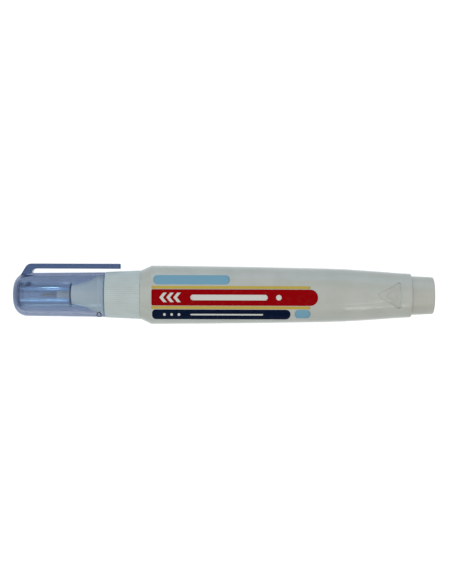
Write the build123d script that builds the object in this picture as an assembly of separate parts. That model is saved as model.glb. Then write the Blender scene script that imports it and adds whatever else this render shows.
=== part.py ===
from build123d import *
import math
import os

# A squeeze correction pen that lies on one flat face of its barrel.
# Sizes are in millimetres. The pen's axis runs along X with the nib towards -X.
# The clip is on the +Y side and the barrel's lower face lies on Z = 0.

# Room between pieces
fixed_fit = 0.04
running_fit = 0.07
hinge_fit = 0.05
seat_gap = 0.10

# Barrel
grip_length = 58.2
grip_front_width = 19.56
grip_rear_width = 17.9
grip_bow = 0.1
barrel_thickness = 16.6
flat_width = 3.0
face_fullness = 0.62
side_fullness = 0.60
barrel_wall = 1.1
shoulder_length = 3.6
taper_length = 24.8
taper_softness = 0.25
grip_spans = 3
taper_spans = 4
ring_length = 3.5
ring_front_diameter = 14.9
ring_rear_diameter = 14.56
ring_wall = 1.3
ring_edge_radius = 0.5

# Arrow ahead of the tail ring, a three-sided groove on both flat faces
arrow_length = 7.4
arrow_width = 9.6
arrow_depth = 0.25
arrow_wall_angle = 50
arrow_corner_radius = 0.6
arrow_margin = 0.5
arrow_island_length = 3.4
arrow_island_width = 4.2
arrow_island_margin = 1.5
arrow_island_radius = 0.3

# Nozzle with its ribbed collar
collar_length = 11.7
collar_step = 0.1
collar_rear_diameter = 16.16
collar_wall = 1.0
collar_seam = 0.06
ledge_wall = 1.3
rib_count = 72
rib_depth = 0.12
rib_groove_share = 0.5
seat_diameter = 12.4
seat_length = 1.3
bead_height = 0.25
bead_width = 1.5
cone_length = 8.5
cone_tip_diameter = 6.3
cone_hollow = 0.6
plug_seal_length = 5.0
plug_seal_wall = 0.9
neck_length = 10.2
neck_wall = 1.2
neck_bead_height = 0.22
neck_bead_width = 1.4
neck_bead_setback = 2.8

# Nib and valve
spout_diameter = 2.3
spout_length = 5.0
nib_diameter = 1.44
nib_tip_diameter = 0.8
nib_length = 5.0
nib_taper_length = 2.5
nib_grip_length = 4.0
nib_bore = 0.58
pin_reach = 0.3
chamber_diameter = 3.9
chamber_wall = 0.95
nozzle_front_wall = 1.0
holder_length = 4.0
holder_bore = 0.9
plunger_diameter = 2.6
plunger_length = 3.0
plunger_nose_length = 0.9
pin_grip_length = 1.6
guide_diameter = 1.2
guide_engagement = 1.0
spring_diameter = 2.3
spring_wire = 0.3
spring_length = 4.8
spring_turns = 6
spring_seat_length = 1.6
flow_slot_count = 3
flow_slot_width = 0.8
flow_slot_depth = 0.6

# Cap
cap_length = 30.6
cap_wall = 0.96
cap_taper = 0.29
cap_end_radius = 4.6
cap_end_wall = 1.2
cap_mouth_chamfer = 0.25
sleeve_diameter = 7.98
sleeve_wall = 1.0
sleeve_end_wall = 1.0
sleeve_lip_height = 0.3
sleeve_lip_length = 0.9
socket_wall = 0.7
socket_depth = 1.2

# Clip
clip_gap = 1.12
clip_thickness = 1.71
clip_overhang = 5.05
clip_heel = 4.76
clip_foot_angle = 59.4
clip_foot_thickness = 2.7
clip_heel_radius = 2.4
clip_crotch_radius = 1.5
clip_root_width = 5.0
clip_tip_width = 4.2
clip_tip_radius = 0.8
clip_edge_radius = 0.2
knuckle_depth = 0.2
knuckle_margin = 0.2
knuckle_split = 0.15

# Tail plug
stub_length = 7.5
stub_taper = 0.3
stub_edge_radius = 0.6
stub_wall = 1.2
plug_skirt_length = 4.2
plug_wall = 1.1

# Mixing balls
ball_diameter = 4.4
ball_room = 1.0
ball_lay_gap = 0.45
ball_station = 6.0

# Stations along the axis
grip_front = -grip_length / 2
grip_rear = grip_length / 2
collar_rear = grip_front - shoulder_length
collar_front = collar_rear - collar_length
neck_front = collar_rear - neck_length
ring_front = grip_rear + taper_length
ring_rear = ring_front + ring_length
tail_end = ring_rear + stub_length
bead_rear = collar_front - seat_length
bead_front = bead_rear - bead_width
cone_tip = bead_front - cone_length
spout_tip = cone_tip - spout_length
nib_tip = spout_tip - nib_length
chamber_front = cone_tip + nozzle_front_wall
holder_rear = chamber_front + holder_length
plunger_rear = holder_rear + plunger_length
spring_rear = plunger_rear + spring_length
chamber_rear = spring_rear + spring_seat_length
cap_mouth = collar_front - seat_gap
cap_end = cap_mouth - cap_length
sleeve_base = cap_end + cap_end_wall
sleeve_rim = cone_tip - seat_gap
axis_height = barrel_thickness / 2

# Radii that follow from the fits
bead_radius = seat_diameter / 2 + bead_height
cap_bore = bead_radius + running_fit
cap_radius = cap_bore + cap_wall
cap_bore_end = cap_bore - cap_taper
cap_radius_end = cap_radius - cap_taper
collar_front_radius = cap_radius + collar_step
collar_rear_radius = collar_rear_diameter / 2
skirt_bore = collar_front_radius - collar_wall
neck_radius = skirt_bore - fixed_fit
neck_bore = neck_radius - neck_wall
ring_bore = ring_rear_diameter / 2 - ring_wall
stub_radius = cap_bore - fixed_fit
sleeve_radius = sleeve_diameter / 2
chamber_radius = chamber_diameter / 2
pin_radius = nib_bore / 2 - running_fit


def turned(*corners):
    """Body turned about the pen's axis from (station, radius) corners in order.

    A third number bows the stretch that leads to its corner: a positive one
    bulges to the left of the way the outline runs.
    """
    edges = []
    for start, end in zip(corners, corners[1:] + corners[:1]):
        if len(end) > 2:
            edges.append(SagittaArc(start[:2], end[:2], end[2]))
        else:
            edges.append(Line(start[:2], end))
    return revolve(make_face(edges), Axis.X)


def corner_bow(radius):
    """Bow of a quarter circle between its two ends."""
    return radius * (1 - math.sqrt(0.5))


def across(station):
    """Plane square to the pen's axis, with its own axes along Y and Z."""
    return Plane(origin=(station, 0, 0), x_dir=(0, 1, 0), z_dir=(1, 0, 0))


def blend(start, end, share):
    """Value that lies the given share of the way from start to end."""
    return start + share * (end - start)


def barrel_section(station, half_width, half_height, flatness):
    """Closed section: a circle at flatness 0, two straight flats and full sides at 1."""
    flat = flat_width / 2
    round_edge = math.asin(flat / half_height)
    edge = (1 - flatness) * round_edge
    shoulder_height = half_height - flat * math.tan(edge / 2)
    round_handle = 4 / 3 * math.tan((math.pi / 2 - round_edge) / 4) * half_height
    face_handle = blend(round_handle, (half_width - flat) * face_fullness, flatness)
    side_handle = blend(round_handle, half_height * side_fullness, flatness)
    edges = []
    for face in (1, -1):
        ends = ((-flat, face * shoulder_height), (flat, face * shoulder_height))
        if flatness == 1:
            edges.append(Line(*ends))
        else:
            edges.append(ThreePointArc(ends[0], (0, face * half_height), ends[1]))
        for side in (1, -1):
            edges.append(Bezier(
                (side * flat, face * shoulder_height),
                (side * (flat + face_handle * math.cos(edge)),
                 face * (shoulder_height - face_handle * math.sin(edge))),
                (side * half_width, face * side_handle),
                (side * half_width, 0)))
    return across(station) * make_face(edges)


def taper_share(along):
    """Share of the tail's narrowing, which starts softly and then runs straight."""
    soft = taper_softness
    return (math.hypot(along, soft) - soft) / (math.hypot(1, soft) - soft)


def barrel_form(inset, front_station, front_radius, front_shift):
    """Sections of the barrel's shoulder, grip and taper, drawn in by an inset.

    The front is a circle of the given radius, and front_shift moves the end of
    the shoulder back so that the wall there stays thick.
    """
    half_height = barrel_thickness / 2 - inset
    front_half = grip_front_width / 2 - inset
    rear_half = grip_rear_width / 2 - inset
    ring_front_radius = ring_front_diameter / 2 - inset
    sections = [barrel_section(front_station, front_radius, front_radius, 0)]
    for step in range(grip_spans + 1):
        along = step / grip_spans
        bow = grip_bow * 4 * along * (1 - along)
        station = blend(grip_front + front_shift, grip_rear, along)
        half_width = blend(front_half, rear_half, along) + bow
        sections.append(barrel_section(station, half_width, half_height, 1))
    for step in range(1, taper_spans + 1):
        along = step / taper_spans
        share = taper_share(along)
        station = blend(grip_rear, ring_front, along)
        half_width = blend(rear_half, ring_front_radius, share)
        height = blend(half_height, ring_front_radius, share)
        sections.append(barrel_section(station, half_width, height, 1 - share))
    return sections


def pointer(base, length, width, radius):
    """Triangle that points at the nib, with its base at the given station."""
    outline = Polyline((base - length, 0), (base, width / 2), (base, -width / 2), close=True)
    triangle = make_face(outline)
    return fillet(triangle.vertices(), radius)


def arrow_tool():
    """Triangle standing up from the axis with flared walls, round a tapered island."""
    base = ring_front - arrow_margin
    edge = pointer(base, arrow_length, arrow_width, arrow_corner_radius)
    island = pointer(
        base - arrow_island_margin, arrow_island_length, arrow_island_width, arrow_island_radius)
    floor = Pos(0, 0, ring_front_diameter / 2 - arrow_depth)
    rise = barrel_thickness / 2 - ring_front_diameter / 2 + 2 * arrow_depth
    deep = ring_front_diameter / 2
    groove = extrude(edge, rise, taper=-arrow_wall_angle) + extrude(edge, -deep)
    return floor * (groove - extrude(island, rise + deep, both=True))


def make_barrel():
    """Hollow squeeze barrel with its neck, tail ring, flat faces and arrow recesses."""
    ring_rear_radius = ring_rear_diameter / 2
    sections = barrel_form(0, collar_rear, collar_rear_radius, 0)
    sections.append(barrel_section(ring_rear, ring_rear_radius, ring_rear_radius, 0))
    outer = loft(sections, ruled=True)
    rear_edges = outer.edges().group_by(Axis.X)[-1]
    outer = fillet(rear_edges, ring_edge_radius)

    inner_core = loft(barrel_form(arrow_depth, collar_rear, collar_rear_radius, 0), ruled=True)
    arrow = arrow_tool() - inner_core
    outer -= arrow
    outer -= mirror(arrow, Plane.XY)

    bead_end = collar_rear - neck_bead_setback
    bead_start = bead_end - neck_bead_width
    neck = turned(
        (neck_front, 0),
        (neck_front, neck_radius),
        (bead_start, neck_radius),
        (bead_end, neck_radius, neck_bead_height),
        (collar_rear + barrel_wall, neck_radius),
        (collar_rear + barrel_wall, 0))

    cavity = loft(
        barrel_form(barrel_wall, collar_rear, neck_bore - barrel_wall, barrel_wall), ruled=True)
    neck_hole = turned(
        (neck_front, 0), (neck_front, neck_bore), (grip_front, neck_bore), (grip_front, 0))
    ring_hole = turned(
        (grip_rear, 0), (grip_rear, ring_bore), (ring_rear, ring_bore), (ring_rear, 0))
    return outer + neck - cavity - neck_hole - ring_hole


def ribbed_disc(station, radius):
    """Section of the collar: flat-topped ribs with V grooves between them."""
    pitch = 2 * math.pi / rib_count
    half_land = pitch * (1 - rib_groove_share) / 2
    points = []
    for rib in range(rib_count):
        middle = rib * pitch
        for angle, reach in (
                (middle - half_land, radius),
                (middle + half_land, radius),
                (middle + pitch / 2, radius - rib_depth)):
            points.append((reach * math.cos(angle), reach * math.sin(angle)))
    return across(station) * make_face(Polyline(*points, close=True))


def make_nozzle():
    """Cone, cap seat, ribbed collar, neck skirt and valve chamber in one moulding."""
    seat_radius = seat_diameter / 2
    seal_radius = neck_bore - fixed_fit
    seal_bore = seal_radius - plug_seal_wall
    seal_rear = neck_front + plug_seal_length
    ledge_rear = collar_front + ledge_wall
    pocket_front = bead_front
    tube_radius = chamber_radius + chamber_wall
    spout_hole = spout_diameter / 2 + fixed_fit
    front = turned(
        (cone_tip, spout_hole),
        (cone_tip, cone_tip_diameter / 2),
        (bead_front, seat_radius, -cone_hollow),
        (bead_rear, seat_radius, bead_height),
        (ledge_rear, seat_radius),
        (ledge_rear, seal_radius),
        (seal_rear, seal_radius),
        (seal_rear, seal_bore),
        (pocket_front, seal_bore),
        (pocket_front, tube_radius),
        (chamber_rear, tube_radius),
        (chamber_rear, chamber_radius),
        (chamber_front, chamber_radius),
        (chamber_front, spout_hole))

    skirt_rear = collar_rear - collar_seam
    collar = loft(
        [ribbed_disc(collar_front, collar_front_radius), ribbed_disc(skirt_rear, collar_rear_radius)],
        ruled=True)
    groove_end = collar_rear - neck_bead_setback + fixed_fit
    groove_start = groove_end - neck_bead_width - 2 * fixed_fit
    hollow = turned(
        (ledge_rear, 0),
        (ledge_rear, skirt_bore),
        (groove_start, skirt_bore),
        (groove_end, skirt_bore, neck_bead_height + fixed_fit),
        (collar_rear, skirt_bore),
        (collar_rear, 0))
    middle = turned(
        (collar_front, 0),
        (collar_front, seat_radius - bead_height),
        (ledge_rear, seat_radius - bead_height),
        (ledge_rear, 0))
    return front + (collar - hollow - middle)


def make_nib_holder():
    """Slim spout that grips the metal nib, with the valve's conical seat at its rear."""
    body_radius = chamber_radius - fixed_fit
    nib_socket = nib_diameter / 2 + fixed_fit
    nib_rear = spout_tip + nib_grip_length
    seat_mouth = plunger_diameter / 2
    return turned(
        (spout_tip, nib_socket),
        (spout_tip, spout_diameter / 2),
        (chamber_front, spout_diameter / 2),
        (chamber_front, body_radius),
        (holder_rear, body_radius),
        (holder_rear, seat_mouth),
        (holder_rear - plunger_nose_length, holder_bore / 2),
        (nib_rear, holder_bore / 2),
        (nib_rear, nib_socket))


def make_metal_nib():
    """Turned metal tube that tapers to the writing tip."""
    nib_radius = nib_diameter / 2
    nib_rear = spout_tip + nib_grip_length
    return turned(
        (nib_tip, nib_bore / 2),
        (nib_tip, nib_tip_diameter / 2),
        (nib_tip + nib_taper_length, nib_radius),
        (nib_rear, nib_radius),
        (nib_rear, nib_bore / 2))


def make_valve_pin():
    """Needle that runs through the nib and is pressed into the plunger."""
    rear = holder_rear + pin_grip_length
    front = nib_tip - pin_reach
    return turned(
        (front, 0),
        (front, pin_radius / 2),
        (front + pin_reach / 2, pin_radius),
        (rear, pin_radius),
        (rear, 0))


def make_valve_plunger():
    """Slug with a conical nose for the seat and a stem for the spring."""
    radius = plunger_diameter / 2 - running_fit
    nose_front = holder_rear - plunger_nose_length + running_fit
    pin_hole = pin_radius + fixed_fit / 4
    pin_hole_rear = holder_rear + pin_grip_length
    guide_rear = spring_rear + guide_engagement
    return turned(
        (nose_front, pin_hole),
        (nose_front, holder_bore / 2),
        (holder_rear + running_fit, radius),
        (plunger_rear, radius),
        (plunger_rear, guide_diameter / 2),
        (guide_rear, guide_diameter / 2),
        (guide_rear, 0),
        (pin_hole_rear, 0),
        (pin_hole_rear, pin_hole))


def make_valve_spring():
    """Coil spring between the plunger and the spring seat."""
    wire_radius = spring_wire / 2
    coil_radius = spring_diameter / 2 - wire_radius
    height = spring_length - spring_wire - 2 * fixed_fit
    start = plunger_rear + wire_radius + fixed_fit
    path = Helix(height / spring_turns, height, coil_radius, center=(start, 0, 0), direction=(1, 0, 0))
    wire = Plane(origin=path @ 0, z_dir=path % 0) * Circle(wire_radius)
    return sweep(wire, path, is_frenet=True)


def make_spring_seat():
    """Disc that backs the spring, with a guide hole and slots that let fluid past."""
    radius = chamber_radius - fixed_fit
    seat = turned(
        (spring_rear, guide_diameter / 2 + running_fit),
        (spring_rear, radius),
        (chamber_rear, radius),
        (chamber_rear, guide_diameter / 2 + running_fit))
    slot = Pos((spring_rear + chamber_rear) / 2, radius, 0) * Box(
        2 * spring_seat_length, 2 * flow_slot_depth, flow_slot_width)
    for turn in range(flow_slot_count):
        seat -= Rot(360 * turn / flow_slot_count, 0, 0) * slot
    return seat


def make_tail_plug():
    """Plug in the barrel's rear bore, with the stub that holds the cap while writing."""
    skirt_front = ring_rear - plug_skirt_length
    skirt_radius = ring_bore - fixed_fit
    hollow = skirt_radius - plug_wall
    end_radius = stub_radius - stub_taper
    corner = stub_edge_radius
    return turned(
        (skirt_front, hollow),
        (skirt_front, skirt_radius),
        (ring_rear, skirt_radius),
        (ring_rear, stub_radius),
        (tail_end - corner, end_radius),
        (tail_end, end_radius - corner, corner_bow(corner)),
        (tail_end, 0),
        (tail_end - stub_wall, 0),
        (tail_end - stub_wall, hollow))


def clip_profile():
    """Side view of the clip and its foot: the foot leans up from the cap to the arm."""
    under = cap_radius + clip_gap
    top = under + clip_thickness
    slope = math.tan(math.radians(clip_foot_angle))
    foot_run = clip_foot_thickness / math.sin(math.radians(clip_foot_angle))
    heel = cap_end + clip_heel
    crotch = heel - clip_thickness / slope + foot_run
    base = cap_radius_end - cap_wall
    drop = (top - base) / slope
    tip = cap_mouth + clip_overhang
    outline = Polyline(
        (heel, top),
        (tip, top),
        (tip, under),
        (crotch, under),
        (crotch - (under - base) / slope, base),
        (heel - drop, base),
        close=True)
    face = make_face(outline)
    face = fillet(face.vertices().sort_by_distance((heel, top))[0], clip_heel_radius)
    return fillet(face.vertices().sort_by_distance((crotch, under))[0], clip_crotch_radius)


def clip_pivot():
    """Centre of the clip's flexing root, in the middle of the foot."""
    under = cap_radius + clip_gap
    slope = math.tan(math.radians(clip_foot_angle))
    foot_run = clip_foot_thickness / math.sin(math.radians(clip_foot_angle))
    height = under - knuckle_depth
    station = cap_end + clip_heel - (clip_thickness + knuckle_depth) / slope + foot_run / 2
    return station, height


def knuckle_radius():
    """Radius of the round root that the clip flexes about."""
    return clip_foot_thickness / 2 - knuckle_margin


def split_half(offset, side):
    """Large rectangle on one side of the split across the foot, moved along the foot."""
    station, height = clip_pivot()
    size = 4 * cap_length
    along_foot = Pos(station, height) * Rot(0, 0, clip_foot_angle)
    return along_foot * Pos(offset + side * size / 2, 0) * Rectangle(size, size)


def make_cap_clip():
    """Flat arm of the clip with the round knuckle it flexes about."""
    station, height = clip_pivot()
    side_view = clip_profile() & split_half(0, 1)
    side_view += Pos(station, height) * Circle(knuckle_radius())
    arm = extrude(side_view, clip_root_width / 2, both=True)

    tip = cap_mouth + clip_overhang
    plan = make_face(Polyline(
        (cap_end, -clip_root_width / 2),
        (tip, -clip_tip_width / 2),
        (tip, clip_tip_width / 2),
        (cap_end, clip_root_width / 2),
        close=True))
    plan = fillet(plan.vertices().group_by(Axis.X)[-1], clip_tip_radius)
    blank = extrude(Plane.XZ * plan, 2 * cap_radius, both=True)
    arm &= blank
    top_face = arm.faces().filter_by(Axis.Y).sort_by(Axis.Y)[-1]
    rim = top_face.edges().sort_by(Axis.X)[1:]
    return fillet(rim, clip_edge_radius)


def make_cap_shell():
    """See-through cap with its closed rounded end, inner socket and the clip's root."""
    corner = cap_end_radius
    outer = turned(
        (cap_end, 0),
        (cap_end, cap_radius_end - corner),
        (cap_end + corner, cap_radius_end, corner_bow(corner)),
        (cap_mouth, cap_radius),
        (cap_mouth, 0))
    station, height = clip_pivot()
    foot = clip_profile() & split_half(-knuckle_split, -1)
    foot -= Pos(station, height) * Circle(knuckle_radius() + hinge_fit)
    outer += extrude(foot, clip_root_width / 2, both=True)

    socket_radius = sleeve_radius + fixed_fit
    socket_rim = sleeve_base + socket_depth
    ring_radius = socket_radius + socket_wall
    inner_corner = corner - cap_wall
    ring_rise = ring_radius - cap_radius_end + corner
    ring_foot = cap_end + corner - math.sqrt(inner_corner ** 2 - ring_rise ** 2)
    rest_of_corner = math.hypot(cap_end + corner - ring_foot, inner_corner - ring_rise)
    inner_bow = inner_corner - math.sqrt(inner_corner ** 2 - rest_of_corner ** 2 / 4)
    chamfer = cap_mouth_chamfer
    cavity = turned(
        (sleeve_base, 0),
        (sleeve_base, socket_radius),
        (socket_rim, socket_radius),
        (socket_rim, ring_radius),
        (ring_foot, ring_radius),
        (cap_end + corner, cap_bore_end, inner_bow),
        (cap_mouth - chamfer, cap_bore),
        (cap_mouth, cap_bore + chamfer),
        (cap_mouth, 0))
    return outer - cavity


def make_inner_cap():
    """Sealing sleeve, a cup pressed into the cap's socket with a flared lip."""
    lip_front = sleeve_rim - sleeve_lip_length
    bore = sleeve_radius - sleeve_wall
    return turned(
        (sleeve_base, 0),
        (sleeve_base, sleeve_radius),
        (lip_front, sleeve_radius),
        (sleeve_rim, sleeve_radius + sleeve_lip_height),
        (sleeve_rim, bore),
        (sleeve_base + sleeve_end_wall, bore),
        (sleeve_base + sleeve_end_wall, 0))


def make_ball(side):
    """Steel ball that lies on the barrel's floor and stirs the fluid."""
    floor = barrel_wall - barrel_thickness / 2
    height = floor + ball_lay_gap + ball_diameter / 2
    sideways = side * (ball_diameter + ball_room) / 2
    return Pos(ball_station, sideways, height) * Sphere(ball_diameter / 2)


pieces = {
    "barrel": make_barrel(),
    "nozzle": make_nozzle(),
    "nib_holder": make_nib_holder(),
    "metal_nib": make_metal_nib(),
    "valve_pin": make_valve_pin(),
    "valve_plunger": make_valve_plunger(),
    "valve_spring": make_valve_spring(),
    "spring_seat": make_spring_seat(),
    "tail_plug": make_tail_plug(),
    "cap_shell": make_cap_shell(),
    "inner_cap": make_inner_cap(),
    "cap_clip": make_cap_clip(),
    "mixing_ball_left": make_ball(1),
    "mixing_ball_right": make_ball(-1),
}

os.makedirs("parts", exist_ok=True)
for name, piece in pieces.items():
    export_step(Pos(0, 0, axis_height) * piece, f"parts/{name}.step")
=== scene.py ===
"""Looks for a squeeze correction pen with a see-through cap, a ribbed collar and a printed barrel.

The pen lies along X with its nib towards -X, its clip towards +Y and its printed face up.
"""
import math

import bmesh
import bpy
import numpy as np
from bpy.props import FloatProperty, FloatVectorProperty, PointerProperty
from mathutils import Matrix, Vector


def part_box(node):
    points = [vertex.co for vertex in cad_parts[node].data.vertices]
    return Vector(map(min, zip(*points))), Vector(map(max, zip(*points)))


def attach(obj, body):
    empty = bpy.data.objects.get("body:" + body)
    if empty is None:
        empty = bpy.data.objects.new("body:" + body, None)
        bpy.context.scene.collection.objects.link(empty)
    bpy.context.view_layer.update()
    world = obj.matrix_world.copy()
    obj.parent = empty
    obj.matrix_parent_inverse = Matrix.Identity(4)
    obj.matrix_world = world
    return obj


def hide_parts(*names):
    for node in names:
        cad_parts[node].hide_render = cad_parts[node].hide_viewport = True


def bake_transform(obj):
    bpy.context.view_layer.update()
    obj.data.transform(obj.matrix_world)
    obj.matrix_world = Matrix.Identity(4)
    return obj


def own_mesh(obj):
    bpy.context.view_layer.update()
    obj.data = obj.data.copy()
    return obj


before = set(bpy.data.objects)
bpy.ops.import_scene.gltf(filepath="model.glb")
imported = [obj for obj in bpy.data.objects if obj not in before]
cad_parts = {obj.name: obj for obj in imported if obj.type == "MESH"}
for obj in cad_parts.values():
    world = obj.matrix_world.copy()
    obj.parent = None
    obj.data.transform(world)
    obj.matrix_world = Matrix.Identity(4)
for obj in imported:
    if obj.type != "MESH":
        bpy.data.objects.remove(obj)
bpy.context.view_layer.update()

bl_info = {
    "name": "Correction Pen Looks",
    "version": (1, 0, 0),
    "blender": (4, 5, 0),
    "location": "3D View > Sidebar > Pen",
    "description": "Dresses the packed correction pen and sets a soft studio stage round it",
    "category": "Object",
}

MM = 0.001

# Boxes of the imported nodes, in metres
SHELL_LOW, SHELL_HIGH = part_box("cap_shell")
SLEEVE_LOW, SLEEVE_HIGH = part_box("inner_cap")
_, CLIP_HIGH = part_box("cap_clip")
BARREL_LOW, BARREL_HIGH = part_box("barrel")
SPRING_LOW, SPRING_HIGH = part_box("valve_spring")
AXIS_HEIGHT = (BARREL_LOW.z + BARREL_HIGH.z) / 2
SHELL_RADIUS = (SHELL_HIGH.z - SHELL_LOW.z) / 2

# Colours of lamps, painted rim shade and clear walls, as shares of red, green and blue
WHITE = (1.0, 1.0, 1.0)
WARM = (1.0, 0.985, 0.93)
COOL = (0.7, 0.95, 0.85)
PALE_BLUE = (0.42, 0.8, 1.0)
BLUE_RIM_SHADE = (0.6, 0.7, 0.96)
DARK_RIM_SHADE = (0.1, 0.12, 0.2)
CLEAR_WALL = (0.98, 0.985, 0.995)

# Streak lamps: name, place along the pen, degrees from straight up, size, radiance, colour, rays
OUTSIDE = "glossy"
INSIDE = "transmission"
STREAK_AWAY = 0.8
STREAKS = (
    ("cap_streak", -0.165, 57, (0.12, 0.1), 9.0, COOL, OUTSIDE),
    ("cap_sheen", -0.13, 84, (0.24, 0.16), 3.0, WARM, OUTSIDE),
    ("sleeve_lower", -0.152, 58, (0.11, 0.2), 3.6, COOL, INSIDE),
    ("sleeve_upper", -0.153, -70, (0.014, 0.14), 15.0, COOL, INSIDE),
    ("tail_streak_front", 0.184, 43, (0.02, 0.11), 13.0, WARM, OUTSIDE),
    ("tail_streak_middle", 0.2, 48.5, (0.016, 0.11), 14.0, WARM, OUTSIDE),
    ("tail_streak_rear", 0.213, 54.5, (0.012, 0.11), 22.0, WARM, OUTSIDE),
    ("tail_sheen", 0.19, 25, (0.1, 0.1), 2.6, WARM, OUTSIDE),
)


def linear(red, green, blue):
    """Scene colour of a display colour with channels from 0 to 255."""
    shares = np.array([red, green, blue]) / 255
    bright = ((shares + 0.055) / 1.055) ** 2.4
    return tuple(np.where(shares <= 0.04045, shares / 12.92, bright).tolist())


def number(label, tip, default, **more):
    """Setting with a name, a tip, a default and what else is given."""
    return FloatProperty(name=label, description=tip, default=default, **more)


def length(label, tip, millimetres):
    """Length setting with its default in millimetres."""
    return number(label, tip, millimetres * MM, precision=5, unit="LENGTH")


def angle(label, tip, degrees):
    """Angle setting with its default in degrees."""
    return number(label, tip, math.radians(degrees), subtype="ANGLE")


def colour(label, tip, display):
    """Colour setting with its default as a display colour."""
    return FloatVectorProperty(
        name=label, description=tip, default=linear(*display), size=3, min=0, max=1, subtype="COLOR")


class PenBarrelSettings(bpy.types.PropertyGroup):
    """Form of the barrel's printed face and the colours of the white mouldings."""

    grip_front: length("Grip Front", "Station where the grip starts", -29.1)
    grip_rear: length("Grip Rear", "Station where the grip ends", 29.1)
    front_half_width: length("Front Half Width", "Half the grip's width at its front", 9.78)
    rear_half_width: length("Rear Half Width", "Half the grip's width at its rear", 8.95)
    bow: length("Bow", "How far the grip's sides bulge at mid length", 0.1)
    flat_half: length("Flat Half Width", "Half the width of the flat on each broad face", 1.5)
    face_fullness: number("Face Fullness", "How far the broad face stays flat", 0.62, subtype="FACTOR")
    side_fullness: number("Side Fullness", "How full the sides are", 0.60, subtype="FACTOR")
    barrel: colour("Barrel", "Milky plastic of the barrel", (172, 171, 163))
    collar: colour("Collar", "White plastic of the collar", (179, 184, 182))
    # Painted light: the nozzle under the cap is given this brighter colour in place of the light that
    # the cap holds back
    cone_painted_light: colour("Cone", "Clean white plastic of the nozzle under the cap", (250, 248, 232))
    tail: colour("Tail", "White plastic of the tail plug", (173, 171, 162))


class PenCapSettings(bpy.types.PropertyGroup):
    """Walls and tint of the see-through cap and its sealing sleeve."""

    wall: length("Wall", "Thickness of the cap's wall", 0.96)
    narrowing: length("Narrowing", "How much smaller the closed end's radius is", 0.29)
    end_radius: length("End Radius", "Rounding of the closed end", 4.6)
    end_wall: length("End Wall", "Thickness of the closed end", 1.2)
    rim_radius: length("Rim Radius", "Rounding of the mouth's edges", 0.22)
    socket_radius: length("Socket Radius", "Bore that holds the sleeve", 4.03)
    socket_wall: length("Socket Wall", "Thickness of the ring round the sleeve", 0.7)
    socket_depth: length("Socket Depth", "Height of the ring round the sleeve", 1.2)
    sleeve_radius: length("Sleeve Radius", "Outer radius of the sealing sleeve", 3.99)
    sleeve_wall: length("Sleeve Wall", "Thickness of the sealing sleeve", 1.0)
    sleeve_dome: length("Sleeve Dome", "Rise of the sleeve's closed end from its middle", 0.9)
    lip_length: length("Lip Length", "Length of the sleeve's flared lip", 0.9)
    loop_place: length("Loop Place", "Distance of the moulded loop from the mouth", 1.9)
    loop_turn: angle("Loop Turn", "Angle of the moulded loop from straight up", 66)
    loop_half_width: length("Loop Half Width", "Half the loop's size along the cap", 0.66)
    loop_half_length: length("Loop Half Length", "Half the loop's size round the cap", 2.0)
    loop_wire: length("Loop Wire", "Radius of the loop's raised line", 0.17)
    pip_place: length("Pip Place", "Distance of the moulded pip from the closed end", 4.9)
    pip_half_length: length("Pip Half Length", "Half the pip's size along the cap", 1.05)
    pip_radius: length("Pip Radius", "Half the pip's size across the cap", 0.7)
    pip_sink: length("Pip Sink", "How far the pip's middle lies inside the sleeve's surface", 0.3)
    tint: colour("Tint", "Colour that a wall of the cap lets through", (180, 191, 208))
    clip_tint: colour("Clip Tint", "Colour that the solid clip lets through", (84, 106, 142))
    loop_tint: colour("Loop Tint", "Colour that the moulded loop lets through", (34, 44, 68))
    sleeve_tint: colour("Sleeve Tint", "Colour that a wall of the sleeve lets through", (233, 239, 246))
    glow: colour("Depth Tint", "Colour that thick plastic turns to", (105, 122, 165))
    depth: number("Depth", "Strength of the depth tint for each metre of plastic", 150, min=0)


class PenClipSettings(bpy.types.PropertyGroup):
    """Form of the clip that grows out of the cap's closed end."""

    gap: length("Gap", "Room between the cap and the arm", 1.12)
    foot_angle: angle("Foot Angle", "Lean of the foot", 59.4)
    foot_thickness: length("Foot Thickness", "Thickness of the leaning foot", 2.7)
    heel: length("Heel", "Distance of the heel from the closed end", 4.76)
    heel_radius: length("Heel Radius", "Rounding outside the heel", 2.4)
    crotch_radius: length("Crotch Radius", "Rounding inside the heel", 1.5)
    root_width: length("Root Width", "Width of the clip at its foot", 5.0)
    tip_width: length("Tip Width", "Width of the clip at its free end", 4.2)
    edge_radius: length("Edge Radius", "Rounding along the arm's edges", 0.3)
    tip_radius: length("Tip Radius", "Rounding of the free end's corners", 0.8)


class PenValveSettings(bpy.types.PropertyGroup):
    """Wire of the valve's spring and the metals of the nib and balls."""

    wire: length("Wire", "Thickness of the spring's wire", 0.3)
    turns: number("Turns", "Turns of the spring", 6, min=1)
    nib: colour("Nib", "Warm metal of nib and pin", (198, 168, 134))
    holder: colour("Holder", "Pale plastic that holds the nib", (222, 212, 190))
    steel: colour("Steel", "Colour of spring and balls", (200, 200, 198))
    seal: colour("Seal", "Natural plastic of the valve's pieces", (196, 195, 188))


class PenPrintSettings(bpy.types.PropertyGroup):
    """Inks of the barrel's plain striped print."""

    lift: length("Lift", "Height of the print above the barrel", 0.03)
    film: length("Film", "Thickness of the print", 0.02)
    red: colour("Band", "Ink of the broad band", (136, 0, 5))
    yellow: colour("Pinstripes", "Ink of the two pinstripes", (178, 153, 70))
    navy: colour("Lower Band", "Ink of the dark lower band", (5, 16, 40))
    pale: colour("Pill", "Ink of the pale upper bar", (112, 150, 168))
    white: colour("Marks", "Ink of the small marks", (196, 192, 184))


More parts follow.
